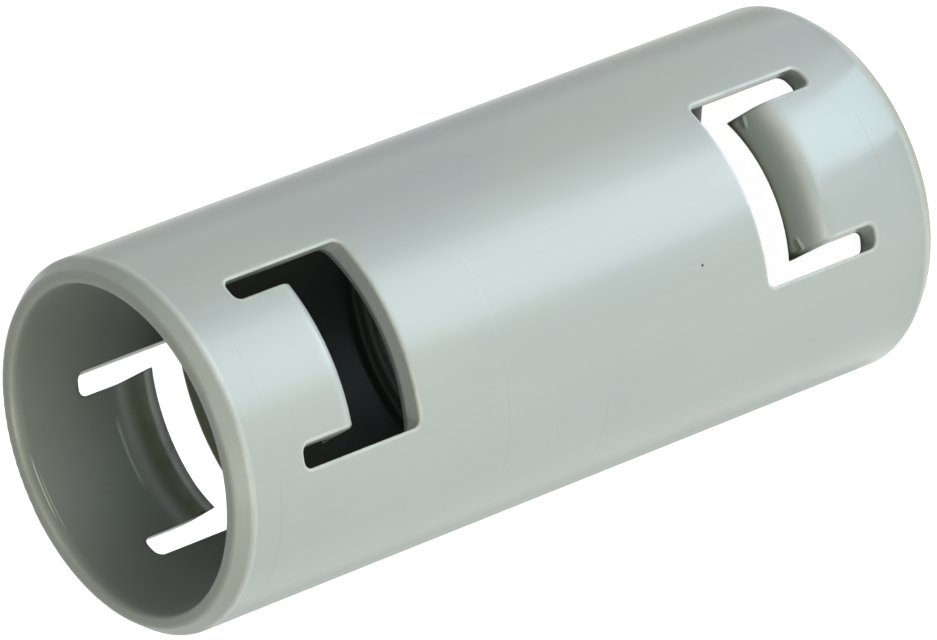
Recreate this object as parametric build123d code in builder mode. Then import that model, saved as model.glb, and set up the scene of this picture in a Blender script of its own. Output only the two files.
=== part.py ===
from build123d import *
import os
from math import radians, tan

os.makedirs("parts", exist_ok=True)

# Conduit claw coupling: one moulded sleeve that joins two lengths of 20 mm corrugated conduit.
# Millimetres. The tube stands on its bottom mouth, its axis is +Z, and the claws face -Y and +Y.
# Both ends are alike, so every place along the axis is measured from the nearer mouth.

# Tube
conduit_diameter = 20.0  # the corrugated conduit that each socket takes
conduit_clearance = 0.4  # on the diameter, in the collar at each mouth
guide_clearance = 0.2  # on the diameter, past the claws' folds
wall = 1.6
sleeve_length = 55.0

# Mouths
bevel_depth = 0.7  # outer bevel, along the radius
bevel_length = 0.95  # outer bevel, along the axis
lead_in_depth = 0.2  # inner lead-in, along the radius
lead_in_length = 0.75  # inner lead-in, along the axis
bevel_soft_radius = 0.3  # rounding of the bevel's two edges

# Stop ring at mid-length, which the conduit's ends butt against
stop_height = 1.2
stop_width = 2.6
stop_chamfer = 0.25

# U-shaped slots, two at each end, that cut the claws free
slot_start = 5.0  # from the mouth to the ends of the slot's arms
slot_width = 1.4  # width of each arm
slot_end_flat = 0.4  # flat left between the rounded corners at an arm's end
slot_chamfer = 0.12  # breaks the slot's edges on the outside

# Claws: flexing tongues, rooted beside the mouth and folded into the bore
claw_width = 9.3
claw_root_length = 3.8  # from the ends of the slot's arms to the fold, on the outside
claw_ramp_angle = 60.0  # between the ramp and the axis
claw_bite = 1.85  # how far the tip reaches into the bore
claw_tip_thickness = 1.2  # along the radius
claw_tip_land = 0.1  # flat left on the tip's inner edge
claw_tip_taper = 0.325  # how much the claw narrows at each side
claw_taper_delay = 0.4  # from the fold to where the claw starts to narrow
claw_gap = 3.65  # from the tip's outer edge to the slot's far edge
claw_outer_fold_radius = 1.35
claw_inner_fold_radius = 0.7
claw_tip_radius = 0.35

bore_radius = (conduit_diameter + conduit_clearance) / 2
guide_radius = (conduit_diameter + guide_clearance) / 2
outer_radius = bore_radius + wall
mid_length = sleeve_length / 2

# Corners of the tube's section
bevel_radius = outer_radius - bevel_depth
lead_in_radius = bore_radius + lead_in_depth
stop_radius = bore_radius - stop_height
stop_face = mid_length - stop_width / 2

# Corners of the claw's section, worked out from its fold and its ramp
half_turn = tan(radians(claw_ramp_angle / 2))
ramp_slope = tan(radians(claw_ramp_angle))
outer_fold = slot_start + claw_root_length
inner_fold = outer_fold - wall * half_turn
inner_fold_start = inner_fold - claw_inner_fold_radius * half_turn
tip_bore_radius = bore_radius - claw_bite
tip_outer_radius = tip_bore_radius + claw_tip_thickness
ramp_end = inner_fold + claw_bite / ramp_slope
tip_inner_edge = ramp_end + claw_tip_radius * half_turn + claw_tip_land
tip_outer_edge = outer_fold + (outer_radius - tip_outer_radius) / ramp_slope

slot_end = tip_outer_edge + claw_gap
slot_corner_radius = (slot_width - slot_end_flat) / 2

# The claw's flat root is part of the tube wall up to this height
claw_join = (slot_start + inner_fold_start) / 2

# One end's pair of claws: the folded section is revolved, then trimmed to the claw's width
with BuildPart() as claws:
    with BuildSketch(Plane.XZ) as claw_section:
        with BuildLine():
            Polyline(
                (bore_radius, claw_join),
                (outer_radius, claw_join),
                (outer_radius, outer_fold),
                (tip_outer_radius, tip_outer_edge),
                (tip_bore_radius, tip_inner_edge),
                (tip_bore_radius, ramp_end),
                (bore_radius, inner_fold),
                close=True,
            )
        make_face()
        for height, radius in (
            (outer_fold, claw_outer_fold_radius),
            (inner_fold, claw_inner_fold_radius),
            (ramp_end, claw_tip_radius),
        ):
            fillet(claw_section.vertices().filter_by_position(Axis.Y, height, height), radius)
    revolve(axis=Axis.Z)
    with BuildSketch(Plane.XZ):
        with BuildLine():
            Polyline(
                (-claw_width / 2, claw_join),
                (claw_width / 2, claw_join),
                (claw_width / 2, outer_fold + claw_taper_delay),
                (claw_width / 2 - claw_tip_taper, tip_outer_edge),
                (-claw_width / 2 + claw_tip_taper, tip_outer_edge),
                (-claw_width / 2, outer_fold + claw_taper_delay),
                close=True,
            )
        make_face()
    extrude(amount=outer_radius, both=True, mode=Mode.INTERSECT)

# The sleeve: one end, as far as the middle of the stop ring, and its mirror image
with BuildPart() as claw_sleeve:
    with BuildSketch(Plane.XZ) as wall_section:
        with BuildLine():
            Polyline(
                (lead_in_radius, 0),
                (bevel_radius, 0),
                (outer_radius, bevel_length),
                (outer_radius, mid_length),
                (stop_radius, mid_length),
                (stop_radius, stop_face),
                (guide_radius, stop_face),
                (guide_radius, outer_fold),
                (bore_radius, inner_fold_start),
                (bore_radius, lead_in_length),
                close=True,
            )
        make_face()
        chamfer(wall_section.vertices().sort_by_distance((stop_radius, stop_face))[0], stop_chamfer)
        for bevel_corner in ((bevel_radius, 0), (outer_radius, bevel_length)):
            fillet(wall_section.vertices().sort_by_distance(bevel_corner)[0], bevel_soft_radius)
    revolve(axis=Axis.Z)

    # The slots leave the flat roots of the claws standing, and the folded claws join onto them
    with BuildSketch(Plane.XZ) as slot_outline:
        with BuildLine():
            Polyline(
                (-claw_width / 2 - slot_width, slot_start),
                (-claw_width / 2, slot_start),
                (-claw_width / 2, claw_join),
                (claw_width / 2, claw_join),
                (claw_width / 2, slot_start),
                (claw_width / 2 + slot_width, slot_start),
                (claw_width / 2 + slot_width, slot_end),
                (-claw_width / 2 - slot_width, slot_end),
                close=True,
            )
        make_face()
        for height in (slot_start, slot_end):
            corners = slot_outline.vertices().filter_by_position(Axis.Y, height, height)
            fillet(corners, slot_corner_radius)
    extrude(amount=outer_radius, both=True, mode=Mode.SUBTRACT)
    add(claws.part)

    # The slot's edges are broken on the outside, apart from the line where the fold begins
    outer_wall = claw_sleeve.faces().filter_by(GeomType.CYLINDER).sort_by(SortBy.AREA)[-1]
    slot_edges = outer_wall.inner_wires().edges()
    arcs = slot_edges.filter_by(GeomType.CIRCLE)
    fold_edges = arcs.filter_by_position(Axis.Z, claw_join, outer_fold)
    chamfer([edge for edge in slot_edges if edge not in fold_edges], slot_chamfer)
    mirror(about=Plane.XY.offset(mid_length))

claw_sleeve.part.label = "claw_sleeve"
export_step(claw_sleeve.part, "parts/claw_sleeve.step")
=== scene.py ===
import bpy
from math import cos, radians, sin
from mathutils import Matrix, Vector


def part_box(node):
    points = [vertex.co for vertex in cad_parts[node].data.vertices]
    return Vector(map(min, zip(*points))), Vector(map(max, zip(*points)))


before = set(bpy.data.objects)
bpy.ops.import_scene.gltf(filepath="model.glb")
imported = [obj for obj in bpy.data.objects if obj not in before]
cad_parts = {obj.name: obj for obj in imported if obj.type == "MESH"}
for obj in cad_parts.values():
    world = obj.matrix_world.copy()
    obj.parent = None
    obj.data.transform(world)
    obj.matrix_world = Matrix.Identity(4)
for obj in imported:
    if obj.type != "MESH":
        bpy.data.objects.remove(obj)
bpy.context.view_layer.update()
mm = 0.001

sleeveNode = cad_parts["claw_sleeve"]
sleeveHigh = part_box("claw_sleeve")[1]
sleeveLength = sleeveHigh.z / mm
outerRadius = sleeveHigh.x / mm
print("frame loaded, sleeve", round(sleeveLength, 2), "mm long")


def hexToLinear(hexColour):
    channels = [int(hexColour[i:i + 2], 16) / 255 for i in (1, 3, 5)]
    linear = [c / 12.92 if c <= 0.04045 else ((c + 0.055) / 1.055) ** 2.4 for c in channels]
    return (*linear, 1.0)


def addNode(tree, kind, inputs=None, **settings):
    # an input is a number, a colour, a socket, or a node, whose first output is then taken
    node = tree.nodes.new(kind)
    for name, value in settings.items():
        setattr(node, name, value)
    for key, value in (inputs or {}).items():
        if isinstance(value, bpy.types.Node):
            value = value.outputs[0]
        if isinstance(value, bpy.types.NodeSocket):
            tree.links.new(value, node.inputs[key])
        else:
            node.inputs[key].default_value = value
    return node


def aroundPart(azimuth, elevation):
    # azimuth 0 stands on the -Y side and turns towards +X, both in degrees
    a, e = radians(azimuth), radians(elevation)
    return Vector((sin(a) * cos(e), -cos(a) * cos(e), sin(e)))


def seesWhite(tree):
    # 1 for the rays that show the surroundings: the camera's, and those in gloss and through clear parts
    rays = addNode(tree, "ShaderNodeLightPath").outputs
    seen = 0.0
    for ray in ("Is Camera Ray", "Is Glossy Ray", "Is Transmission Ray"):
        seen = addNode(tree, "ShaderNodeMath", {0: rays[ray], 1: seen}, operation="MAXIMUM")
    return seen.outputs[0]


# camera: a long lens, looking down on the top mouth, rolled so that the tube lies across the frame
cameraView = {
    "azimuth": -5.5,
    "elevation": 34.834,
    "roll": -111.083,
    "distance": 606.84,  # mm
    "aim": (-0.232, 0.235, 27.815),  # mm
    "sensor": 36.0,
    "lens": 384.2,
    "clip": (0.01, 20),  # m
}


def makeCamera():
    data = bpy.data.cameras.new("photoCamera")
    data.sensor_fit = "HORIZONTAL"
    data.sensor_width = cameraView["sensor"]
    data.lens = cameraView["lens"]
    data.clip_start, data.clip_end = cameraView["clip"]
    camera = bpy.data.objects.new("photoCamera", data)
    bpy.context.scene.collection.objects.link(camera)
    back = aroundPart(cameraView["azimuth"], cameraView["elevation"])
    level = Vector((0, 0, 1)).cross(back).normalized()
    roll = Matrix.Rotation(radians(cameraView["roll"]), 3, back)
    right = roll @ level
    up = back.cross(right)
    place = Vector(cameraView["aim"]) * mm + back * cameraView["distance"] * mm
    turn = Matrix((right, up, back)).transposed().to_4x4()
    camera.matrix_world = Matrix.Translation(place) @ turn
    bpy.context.scene.camera = camera


makeCamera()
print("camera placed")

# pale floor: matt paper that keeps the part's shadow, and shows nearly white to the camera and in gloss
floorLook = {"size": 6000, "colour": "#E6E6E6", "ownWhite": 0.95}


def makeFloor():
    half = floorLook["size"] / 2 * mm
    mesh = bpy.data.meshes.new("floor")
    corners = [(-half, -half, 0), (half, -half, 0), (half, half, 0), (-half, half, 0)]
    mesh.from_pydata(corners, [], [(0, 1, 2, 3)])
    floor = bpy.data.objects.new("floor", mesh)
    bpy.context.scene.collection.objects.link(floor)
    material = bpy.data.materials.new("whitePaper")
    material.use_nodes = True
    tree = material.node_tree
    tree.nodes.clear()
    own = addNode(tree, "ShaderNodeMath", {0: seesWhite(tree), 1: floorLook["ownWhite"]},
                  operation="MULTIPLY")
    matt = addNode(tree, "ShaderNodeBsdfDiffuse", {"Color": hexToLinear(floorLook["colour"])})
    white = addNode(tree, "ShaderNodeEmission", {"Color": (1, 1, 1, 1), "Strength": own})
    both = addNode(tree, "ShaderNodeAddShader", {0: matt, 1: white})
    addNode(tree, "ShaderNodeOutputMaterial", {"Surface": both})
    mesh.materials.append(material)


# the room's own soft light, and the white that the camera and gloss see in its place
worldLook = {"colour": "#FFFFFF", "strength": 0.15, "whiteStrength": 1.0}


def makeWorld():
    world = bpy.data.worlds.new("studio")
    world.use_nodes = True
    tree = world.node_tree
    tree.nodes.clear()
    room = addNode(tree, "ShaderNodeBackground", {
        "Color": hexToLinear(worldLook["colour"]), "Strength": worldLook["strength"]})
    white = addNode(tree, "ShaderNodeBackground", {
        "Color": (1, 1, 1, 1), "Strength": worldLook["whiteStrength"]})
    mix = addNode(tree, "ShaderNodeMixShader", {0: seesWhite(tree), 1: room, 2: white})
    addNode(tree, "ShaderNodeOutputWorld", {"Surface": mix})
    bpy.context.scene.world = world


makeFloor()
makeWorld()

# soft lamps, by where they stand round the part: degrees, mm and watts
lamps = {
    "frontLamp": {"azimuth": 25, "elevation": 13, "distance": 500, "size": 300, "watts": 0.53,
                  "colour": "#FFF8EC", "shines": True},
    "leftLamp": {"azimuth": -45, "elevation": 20, "distance": 500, "size": 240, "watts": 0.95,
                 "colour": "#FFF6E8", "shines": True},
    "backLamp": {"azimuth": 200, "elevation": 10, "distance": 500, "size": 240, "watts": 0.3,
                 "colour": "#FFFAF0", "shines": False},
}


def makeLamps():
    middle = Vector((0, 0, sleeveLength / 2 * mm))
    for name, lamp in lamps.items():
        data = bpy.data.lights.new(name, "AREA")
        data.shape = "SQUARE"
        data.size = lamp["size"] * mm
        data.energy = lamp["watts"]
        data.color = hexToLinear(lamp["colour"])[:3]
        obj = bpy.data.objects.new(name, data)
        bpy.context.scene.collection.objects.link(obj)
        direction = aroundPart(lamp["azimuth"], lamp["elevation"])
        turn = direction.to_track_quat("Z", "Y").to_matrix().to_4x4()
        obj.matrix_world = Matrix.Translation(middle + direction * lamp["distance"] * mm) @ turn
        obj.visible_camera = False
        obj.visible_glossy = lamp["shines"]


# cards that lie flat on the floor, as fans round the part. The shining ones show only in its gloss: a bright
# band down the front, and a dimmer strip at each side, which draws the outline. The matt ones light its wall
# from below. Each ring gives the distance from the axis in mm, and the azimuths of the card's two edges there
cards = {
    "shineFoot": {"rings": [(12.6, 1, 27), (26, -4, 28)],
                  "colour": "#DAEDFB", "glow": 5.9, "matt": False, "shines": True},
    "shineCard": {"rings": [(26, -4, 28), (38, -9.5, 31), (85, -10.5, 34), (450, -11.5, 32)],
                  "colour": "#E7F5FF", "glow": 5.3, "matt": False, "shines": True},
    "shineEdge": {"rings": [(12.6, 27, 37), (26, 28, 40), (38, 31, 46), (85, 34, 47), (450, 32, 46)],
                  "colour": "#E7F5FF", "glow": 2.2, "matt": False, "shines": True},
    "leftFlag": {"rings": [(12.6, -112, -94), (29, -162, -124), (78, -178, -139), (450, -184, -147)],
                 "colour": "#FFFFFF", "glow": 0.6, "matt": False, "shines": True},
    "rightFlag": {"rings": [(12.6, 60, 76), (30, 101, 128), (80, 113, 142), (450, 119, 151)],
                  "colour": "#FFFFFF", "glow": 0.6, "matt": False, "shines": True},
    "leftCard": {"rings": [(12.6, -115, -40), (450, -115, -40)],
                 "colour": "#EEF6FF", "glow": 1.05, "matt": True, "shines": False},
    "frontCard": {"rings": [(12.6, -40, 60), (450, -40, 60)],
                  "colour": "#ECF1FF", "glow": 1.3, "matt": True, "shines": False},
    "rightCard": {"rings": [(12.6, 60, 120), (450, 60, 120)],
                  "colour": "#FFFFFF", "glow": 0.5, "matt": True, "shines": False},
    "backCard": {"rings": [(12.6, 120, 245), (450, 120, 245)],
                 "colour": "#FFFFFF", "glow": 1.25, "matt": True, "shines": False},
}
cardHeight = 0.3  # mm above the floor
cardSteps = 16


def makeCards():
    for name, card in cards.items():
        corners = []
        for distance, fromTurn, toTurn in card["rings"]:
            for i in range(cardSteps + 1):
                turn = fromTurn + (toTurn - fromTurn) * i / cardSteps
                corners.append((aroundPart(turn, 0) * distance + Vector((0, 0, cardHeight))) * mm)
        row = cardSteps + 1
        faces = [(r * row + i, (r + 1) * row + i, (r + 1) * row + i + 1, r * row + i + 1)
                 for r in range(len(card["rings"]) - 1) for i in range(cardSteps)]
        mesh = bpy.data.meshes.new(name)
        mesh.from_pydata(corners, [], faces)
        obj = bpy.data.objects.new(name, mesh)
        bpy.context.scene.collection.objects.link(obj)
        obj.visible_camera = False
        obj.visible_shadow = False
        obj.visible_diffuse = card["matt"]
        obj.visible_glossy = card["shines"]
        material = bpy.data.materials.new(name + "Glow")
        material.use_nodes = True
        tree = material.node_tree
        tree.nodes.clear()
        side = addNode(tree, "ShaderNodeNewGeometry")
        glow = addNode(tree, "ShaderNodeEmission", {
            "Color": hexToLinear(card["colour"]), "Strength": card["glow"]})
        clear = addNode(tree, "ShaderNodeBsdfTransparent")
        mix = addNode(tree, "ShaderNodeMixShader", {0: side.outputs["Backfacing"], 1: glow, 2: clear})
        addNode(tree, "ShaderNodeOutputMaterial", {"Surface": mix})
        mesh.materials.append(material)


makeLamps()
makeCards()
print("floor, world, lamps and cards ready")

# moulded PVC-U, the grey of conduit fittings. The eye gets a satin, slightly cloudy skin from the
# spark-eroded mould, a duller bore where the core pin was rougher, with painted shade that darkens it, and
# painted highlights along every edge. Lengths are in mm. x is across the claws and y goes through them, both
# from the axis; radius is from the axis, depth from the nearer mouth, across is x whatever its side, and
# azimuth is in degrees
pvcLook = {
    "colour": "#B1BCB7",
    "cloudColour": "#B5BDB1",
    "rimColour": "#B3BFB3",
    # painted shade: the bore's darker colour
    "boreShadeColour": "#8D9790",
    # painted shade on the claws' ramps and the back slots' ends
    "clawAndSlotShadeColour": "#62694E",
    # painted highlight along the edges
    "edgeHighlightColour": "#D4DDD4",
    "speckColour": "#3E423F",
    "ior": 1.53,
    "roughness": 0.28,  # never less anywhere, so that the drift stays free of steps
    "boreRoughness": 0.46,
    "dullRoughness": 0.8,
    "roughnessDrift": 0.03,
    "edgeRound": 0.4,  # every edge is softened by the mould's own
    "edgeSamples": 6,
    "cloudShare": 0.4,
    "cloudTone": 0.03,
    "streakTone": 0.048,
    # painted shade deep in the bore: the colour's share that is left there
    "deepPaintedShade": 0.4,
    "grainHeight": 0.002,
    "waveHeight": 0.0035,
    "lineStep": 0.03,  # height of a witness line of full tone
    # painted highlight and shade of the claws' corner scores
    "scoreLightAndShade": 1.3,
    "scoreStep": 0.05,
    # size, detail and stretch along the axis. Clouds are where the melt ran unevenly, streaks are drag lines
    # from the ejection, and the wave is the skin's slow waviness. The real grain is about 0.06 mm, too fine
    # to show, so it is drawn five times as coarse
    "noises": {
        "cloud": (9, 3.0, 0.4),
        "streak": (0.45, 2.0, 0.02),
        "grain": (0.32, 2.0, 1),
        "wave": (5, 1.0, 1),
        # this noise breaks up the painted highlights along the edges
        "highlightBreak": (1.6, 2.0, 1),
    },
    "noiseRoughness": 0.55,
    "cloudLimits": (0.35, 0.65),
    "highlightBreakLimits": (0.25, 0.6),
    "leastHighlight": 0.55,
    # zones of the skin: what is measured, where the zone has gone, and where it is full
    "zones": {
        "cutWall": [("radius", 10.25, 10.6)],
        "rampWall": [("radius", 10.0, 11.75)],
        "outerWall": [("radius", 11.5, 11.66)],
        "onClaw": [("across", 4.75, 4.68), ("depth", 8.0, 8.6), ("depth", 10.6, 10.3)],
        "onFold": [("across", 4.62, 4.5), ("depth", 9.6, 9.5)],
        "foldLine": [("depth", 8.1, 8.9), ("depth", 9.5, 8.9)],
        "foldSide": [("across", 4.3, 4.5), ("radius", 10.9, 10.5), ("depth", 6.9, 7.2), ("depth", 8.8, 8.5)],
        "clawRamp": [("radius", 10.15, 9.1), ("depth", 12.0, 11.0)],
        "clawTip": [("radius", 8.75, 8.5)],
        "clawCorner": [("radius", 9.7, 9.9), ("across", 3.55, 3.9)],
        "slotEnd": [("depth", 13.68, 13.73), ("depth", 13.80, 13.77), ("y", 2.0, 4.0), ("across", 6.2, 6.0)],
        "rim": [("depth", 1.1, 0.1)],
        "mouthFace": [("depth", 0.6, 0.0)],
        "deepInBore": [("depth", 9.0, 15.0)],  # where painted shade darkens the bore further, towards its middle
    },
    # the slots' arms and their cross cut, seen along Y and folded onto one quarter: middle, half size, corner
    "slotBoxes": [((5.35, 9.37), (0.7, 4.37), 0.5), ((0, 11.27), (6.05, 2.47), 0.5)],
    "slotEdge": (0.26, 0.1),  # from the slot: where its painted highlight has gone, and where it is full
    "foldHold": 0.3,  # how far the slot's edge is held off the fold, which has no such line
    "foldShare": 0.35,
    # corners of the mouth's section that get a painted highlight: radius and depth, how much
    "rimCorners": [((11.8, 0.95), 0.55), ((11.1, 0.0), 0.35), ((10.4, 0.0), 0.25)],
    "rimEdge": (0.32, 0.1),
    # witness lines of the mould's inserts, and painted highlights: from the top mouth, azimuths, width, tone,
    # paler or darker
    "witnessLinesAndHighlights": [
        (3.0, -82, -30, 0.11, -0.06),
        (3.0, -12, 16, 0.10, -0.035),
        (20.45, -18, 16, 0.11, 0.05),
        (20.45, -62, -18, 0.11, -0.05),
        (24.1, -62, -42, 0.14, 0.035),
        (28.3, -76, -40, 0.12, -0.06),
        (28.3, 58, 74, 0.12, 0.05),
        (51.5, -14, 14, 0.08, -0.08),
        # painted highlights: a streak on the far claw's inner fold, and two on the mouth's lead-in
        (7.3, 161, 192, 0.19, 0.8),
        (0.66, 164, 190, 0.08, 1.5),
        (0.86, 170, 196, 0.06, 1.1),
    ],
    "lineFull": 0.3,  # share of a line's width where it is full
    "lineEase": 8,  # degrees over which a line comes and goes
    # faint patch where the gate's insert was blended in: from the top mouth, azimuths
    "blendPatch": {"from": 20.4, "to": 28.3, "soft": 1.2, "azimuths": (-60, -22), "ease": 6, "tone": 0.012},
    # black specks in the melt: from the top mouth, azimuth, radius
    "specks": [(36.45, -16.5, 0.09), (14.2, 118, 0.09), (41.0, 205, 0.10)],
    "speckEdge": (1.5, 0.6),  # shares of its radius where a speck has gone, and where it is full
    # scores of the cutter at the claws' corners, their small steps drawn with painted highlight and shade.
    # They start at this place across and this depth, lean by the slope, and run along the span with tones
    # either side of 0.5
    "clawScores": {
        "across": 4.4, "depth": 9.37, "slope": 0.198, "span": 1.2,
        "tones": [(0.0, 0.5), (0.08, 0.5), (0.13, 1.0), (0.17, 0.95), (0.22, 0.1), (0.34, 0.2),
                  (0.42, 0.5), (0.55, 0.45), (0.62, 0.2), (0.70, 0.3), (0.78, 0.5)],
    },
}


def makeMask(tree, limits):
    # full where every limit is reached. A limit is a value, where the mask has gone and where it is full
    mask = None
    for value, none, full in limits:
        rising = none < full
        eased = addNode(tree, "ShaderNodeMapRange", {
            "Value": value, "From Min": min(none, full), "From Max": max(none, full),
            "To Min": 0.0 if rising else 1.0, "To Max": 1.0 if rising else 0.0,
        }, interpolation_type="SMOOTHSTEP")
        mask = eased if mask is None else addNode(
            tree, "ShaderNodeMath", {0: mask, 1: eased}, operation="MULTIPLY")
    return mask.outputs[0]


def stackLayers(tree, base, layers):
    # adds layers of tone or height to the base, each with its weight
    total = base
    for layer, weight in layers:
        total = addNode(tree, "ShaderNodeMath", {0: layer, 1: weight, 2: total}, operation="MULTIPLY_ADD")
    return total.outputs[0]


def measurePlace(tree):
    # where a point of the sleeve is, by every measure that the zones use
    place = addNode(tree, "ShaderNodeTexCoord").outputs["Object"]
    place = addNode(tree, "ShaderNodeVectorMath", {0: place, "Scale": 1 / mm}, operation="SCALE").outputs[0]
    x, y, z = addNode(tree, "ShaderNodeSeparateXYZ", {0: place}).outputs
    flat = addNode(tree, "ShaderNodeCombineXYZ", {0: x, 1: y})
    radius = addNode(tree, "ShaderNodeVectorMath", {0: flat}, operation="LENGTH").outputs["Value"]
    half = sleeveLength / 2
    fromMiddle = addNode(tree, "ShaderNodeMath", {0: z, 1: half}, operation="SUBTRACT")
    fromMiddle = addNode(tree, "ShaderNodeMath", {0: fromMiddle}, operation="ABSOLUTE")
    depth = addNode(tree, "ShaderNodeMath", {0: half, 1: fromMiddle}, operation="SUBTRACT").outputs[0]
    across = addNode(tree, "ShaderNodeMath", {0: x}, operation="ABSOLUTE").outputs[0]
    front = addNode(tree, "ShaderNodeMath", {0: y, 1: -1.0}, operation="MULTIPLY")
    azimuth = addNode(tree, "ShaderNodeMath", {0: x, 1: front}, operation="ARCTAN2")
    azimuth = addNode(tree, "ShaderNodeMath", {0: azimuth}, operation="DEGREES").outputs[0]
    return {"place": place, "y": y, "z": z, "radius": radius, "depth": depth, "across": across,
            "azimuth": azimuth}


def drawEdgeHighlights(tree, at, zones, highlightBreak):
    # painted highlights along edges: round the slots on the outside, at the mouth's corners, on the claws'
    # folds and tips
    point = addNode(tree, "ShaderNodeCombineXYZ", {0: at["across"], 1: at["depth"]})
    gaps = []
    for middle, half, corner in pvcLook["slotBoxes"]:
        inner = (half[0] - corner, half[1] - corner, 0)
        away = addNode(tree, "ShaderNodeVectorMath", {0: point, 1: (*middle, 0)}, operation="SUBTRACT")
        away = addNode(tree, "ShaderNodeVectorMath", {0: away}, operation="ABSOLUTE")
        away = addNode(tree, "ShaderNodeVectorMath", {0: away, 1: inner}, operation="SUBTRACT")
        away = addNode(tree, "ShaderNodeVectorMath", {0: away, 1: (0, 0, 0)}, operation="MAXIMUM")
        away = addNode(tree, "ShaderNodeVectorMath", {0: away}, operation="LENGTH")
        gaps.append(addNode(tree, "ShaderNodeMath", {0: away.outputs["Value"], 1: corner},
                            operation="SUBTRACT"))
    gaps[1] = stackLayers(tree, gaps[1], [(zones["onFold"], pvcLook["foldHold"])])
    slotGap = addNode(tree, "ShaderNodeMath", {0: gaps[0], 1: gaps[1]}, operation="MINIMUM")
    slotEdge = makeMask(tree, [(slotGap, *pvcLook["slotEdge"])])
    onFold = addNode(tree, "ShaderNodeMath", {0: zones["foldLine"], 1: zones["onFold"]}, operation="MULTIPLY")
    shares = [(slotEdge, zones["outerWall"]), (onFold, pvcLook["foldShare"]), (zones["clawTip"], 1.0)]
    section = addNode(tree, "ShaderNodeCombineXYZ", {0: at["radius"], 1: at["depth"]})
    for corner, share in pvcLook["rimCorners"]:
        far = addNode(tree, "ShaderNodeVectorMath", {0: section, 1: (*corner, 0)}, operation="DISTANCE")
        shares.append((makeMask(tree, [(far.outputs["Value"], *pvcLook["rimEdge"])]), share))
    edge = 0.0
    for line, share in shares:
        line = addNode(tree, "ShaderNodeMath", {0: line, 1: share}, operation="MULTIPLY")
        edge = addNode(tree, "ShaderNodeMath", {0: edge, 1: line}, operation="MAXIMUM")
    # the painted highlights, broken up unevenly by noise
    highlightBroken = makeMask(tree, [(highlightBreak, *pvcLook["highlightBreakLimits"])])
    highlightBroken = addNode(tree, "ShaderNodeMath", {
        0: highlightBroken, 1: 1 - pvcLook["leastHighlight"], 2: pvcLook["leastHighlight"]}, operation="MULTIPLY_ADD")
    return addNode(tree, "ShaderNodeMath", {0: edge, 1: highlightBroken}, operation="MULTIPLY").outputs[0]


def drawLines(tree, at):
    # azimuths past 180 are measured on round the back
    onRound = addNode(tree, "ShaderNodeMath", {0: at["azimuth"], 1: 360.0, 2: 0.0}, operation="WRAP")
    ease = pvcLook["lineEase"]
    lines = []
    for fromTop, start, end, width, tone in pvcLook["witnessLinesAndHighlights"]:
        off = addNode(tree, "ShaderNodeMath", {0: at["z"], 1: sleeveLength - fromTop}, operation="SUBTRACT")
        off = addNode(tree, "ShaderNodeMath", {0: off}, operation="ABSOLUTE")
        turn = onRound if end > 180 else at["azimuth"]
        line = makeMask(tree, [(off, width, width * pvcLook["lineFull"]), (turn, start, start + ease),
                               (turn, end, end - ease)])
        lines.append((line, tone))
    return stackLayers(tree, 0.0, lines)


def drawPatch(tree, at):
    patch = pvcLook["blendPatch"]
    low, high = sleeveLength - patch["to"], sleeveLength - patch["from"]
    start, end = patch["azimuths"]
    return makeMask(tree, [
        (at["z"], low - patch["soft"], low), (at["z"], high + patch["soft"], high),
        (at["azimuth"], start - patch["ease"], start), (at["azimuth"], end + patch["ease"], end)])


def drawScores(tree, at, zones):
    look = pvcLook["clawScores"]
    lean = addNode(tree, "ShaderNodeMath", {0: look["across"], 1: at["across"]}, operation="SUBTRACT")
    start = addNode(tree, "ShaderNodeMath", {0: lean, 1: look["slope"], 2: look["depth"]},
                    operation="MULTIPLY_ADD")
    past = addNode(tree, "ShaderNodeMath", {0: at["depth"], 1: start}, operation="SUBTRACT")
    scores = addNode(tree, "ShaderNodeValToRGB", {0: makeMask(tree, [(past, 0.0, look["span"])])})
    stops = scores.color_ramp.elements
    for spot, _ in look["tones"][1:-1]:
        stops.new(spot)
    for stop, (spot, tone) in zip(stops, look["tones"]):
        stop.position, stop.color = spot, (tone, tone, tone, 1.0)
    score = addNode(tree, "ShaderNodeMath", {0: scores, 1: 0.5}, operation="SUBTRACT")
    corner = addNode(tree, "ShaderNodeMath", {0: zones["onClaw"], 1: zones["clawCorner"]},
                     operation="MULTIPLY")
    return addNode(tree, "ShaderNodeMath", {0: score, 1: corner}, operation="MULTIPLY").outputs[0]


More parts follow.
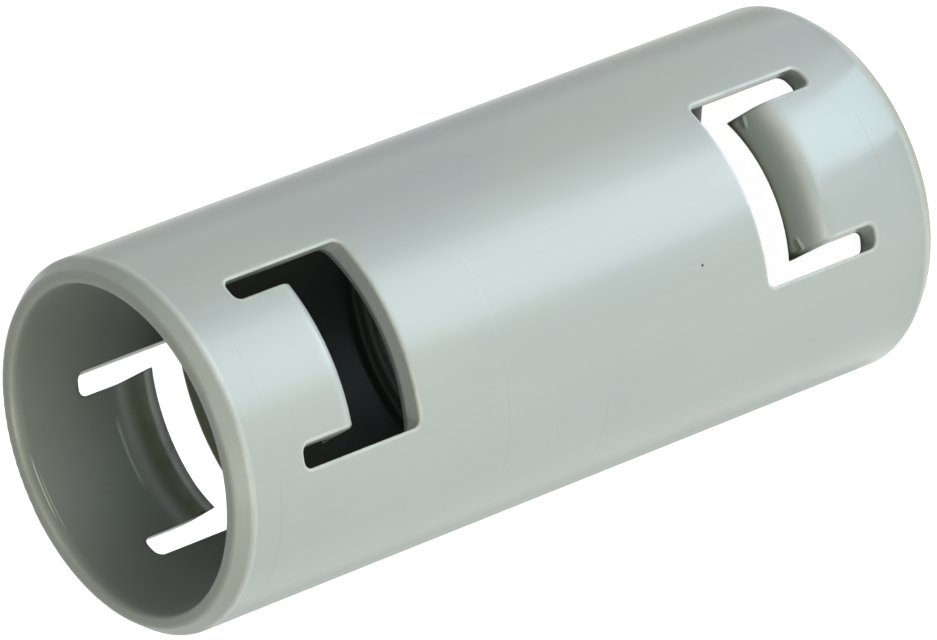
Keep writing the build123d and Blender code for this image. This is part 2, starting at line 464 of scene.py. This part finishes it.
def makePvc():
    material = bpy.data.materials.new("mouldedPvc")
    material.use_nodes = True
    tree = material.node_tree
    tree.nodes.clear()
    at = measurePlace(tree)

    noises = {}
    for name, (size, detail, stretch) in pvcLook["noises"].items():
        spread = addNode(tree, "ShaderNodeMapping", {"Vector": at["place"], "Scale": (1, 1, stretch)})
        noises[name] = addNode(tree, "ShaderNodeTexNoise", {
            "Vector": spread, "Scale": 1 / size, "Detail": detail, "Roughness": pvcLook["noiseRoughness"]})
    cloud = makeMask(tree, [(noises["cloud"], *pvcLook["cloudLimits"])])

    zones = {name: makeMask(tree, [(at[measure], none, full) for measure, none, full in limits])
             for name, limits in pvcLook["zones"].items()}
    # bore, and the claws' ramps, which go over into it slowly: painted shade in a darker colour there, and a
    # duller roughness
    outside = addNode(tree, "ShaderNodeMix", {0: zones["onClaw"], 2: zones["cutWall"], 3: zones["rampWall"]})
    outside = addNode(tree, "ShaderNodeMath", {0: outside, 1: zones["mouthFace"]}, operation="MAXIMUM")
    bore = addNode(tree, "ShaderNodeMath", {0: 1.0, 1: outside}, operation="SUBTRACT")
    deep = addNode(tree, "ShaderNodeMath", {0: bore, 1: zones["deepInBore"]}, operation="MULTIPLY")
    # the claws' ramps up to their tips, and the ends of the back slots, get painted shade in a dark olive and
    # a dull roughness
    besideTip = addNode(tree, "ShaderNodeMath", {0: 1.0, 1: zones["clawTip"]}, operation="SUBTRACT")
    shadedAndDull = addNode(tree, "ShaderNodeMath", {0: zones["clawRamp"], 1: besideTip}, operation="MULTIPLY")
    shadedAndDull = addNode(tree, "ShaderNodeMath", {0: shadedAndDull, 1: zones["slotEnd"]}, operation="MAXIMUM")

    edge = drawEdgeHighlights(tree, at, zones, noises["highlightBreak"])
    lines = drawLines(tree, at)
    patch = drawPatch(tree, at)
    scores = drawScores(tree, at, zones)

    # colour, from the skin's own to what lies over it, painted shade and painted highlights included
    cloudy = addNode(tree, "ShaderNodeMath", {0: cloud, 1: pvcLook["cloudShare"]}, operation="MULTIPLY")
    tints = [(cloudy, "cloudColour"), (zones["rim"], "rimColour"), (bore, "boreShadeColour"),
             (shadedAndDull, "clawAndSlotShadeColour"), (edge, "edgeHighlightColour")]
    none, full = pvcLook["speckEdge"]
    for fromTop, turn, size in pvcLook["specks"]:
        spot = aroundPart(turn, 0) * outerRadius + Vector((0, 0, sleeveLength - fromTop))
        far = addNode(tree, "ShaderNodeVectorMath", {0: at["place"], 1: tuple(spot)}, operation="DISTANCE")
        speck = makeMask(tree, [(far.outputs["Value"], size * none, size * full)])
        tints.append((speck, "speckColour"))
    colour = hexToLinear(pvcLook["colour"])
    for share, name in tints:
        colour = addNode(tree, "ShaderNodeMix", {0: share, 6: colour, 7: hexToLinear(pvcLook[name])},
                         data_type="RGBA").outputs[2]

    # tone, which makes the colour lighter or darker: the noises are centred, so that they change no average
    level = stackLayers(tree, 1 - pvcLook["cloudTone"] / 2 - pvcLook["streakTone"] / 2, [
        (cloud, pvcLook["cloudTone"]), (noises["streak"], pvcLook["streakTone"]), (lines, 1.0),
        (patch, pvcLook["blendPatch"]["tone"]), (scores, pvcLook["scoreLightAndShade"])])
    # painted shade, darkening the bore deep inside
    shade = stackLayers(tree, 1.0, [(makeMask(tree, [(deep, 0.0, 1.0)]), pvcLook["deepPaintedShade"] - 1)])
    level = addNode(tree, "ShaderNodeMath", {0: level, 1: shade}, operation="MULTIPLY")
    colour = addNode(tree, "ShaderNodeVectorMath", {0: colour, "Scale": level}, operation="SCALE")

    rough = addNode(tree, "ShaderNodeMix", {
        0: bore, 2: pvcLook["roughness"], 3: pvcLook["boreRoughness"]})
    rough = addNode(tree, "ShaderNodeMix", {0: shadedAndDull, 2: rough, 3: pvcLook["dullRoughness"]})
    drift = addNode(tree, "ShaderNodeMath", {0: noises["streak"], 1: cloud}, operation="MULTIPLY")
    rough = stackLayers(tree, rough, [(drift, pvcLook["roughnessDrift"])])

    # height in mm: the grain, the waviness and the lines' small steps
    height = stackLayers(tree, 0.0, [
        (noises["grain"], pvcLook["grainHeight"]), (noises["wave"], pvcLook["waveHeight"]),
        (lines, pvcLook["lineStep"]), (scores, pvcLook["scoreStep"])])
    # softened edges, but for the sides of the claws' inner folds, which are cut sharp
    soft = addNode(tree, "ShaderNodeBevel", {"Radius": pvcLook["edgeRound"] * mm},
                   samples=pvcLook["edgeSamples"])
    sharp = addNode(tree, "ShaderNodeNewGeometry").outputs["Normal"]
    facing = addNode(tree, "ShaderNodeMix", {0: zones["foldSide"], 4: soft, 5: sharp},
                     data_type="VECTOR").outputs[1]
    bump = addNode(tree, "ShaderNodeBump", {
        "Strength": 1.0, "Distance": mm, "Height": height, "Normal": facing})

    shader = addNode(tree, "ShaderNodeBsdfPrincipled", {
        "Base Color": colour, "Roughness": rough, "IOR": pvcLook["ior"], "Normal": bump})
    addNode(tree, "ShaderNodeOutputMaterial", {"Surface": shader})
    return material


pvc = makePvc()
for slot in sleeveNode.material_slots:
    slot.material = pvc
print("materials on")

bpy.context.scene.view_settings.view_transform = "Standard"
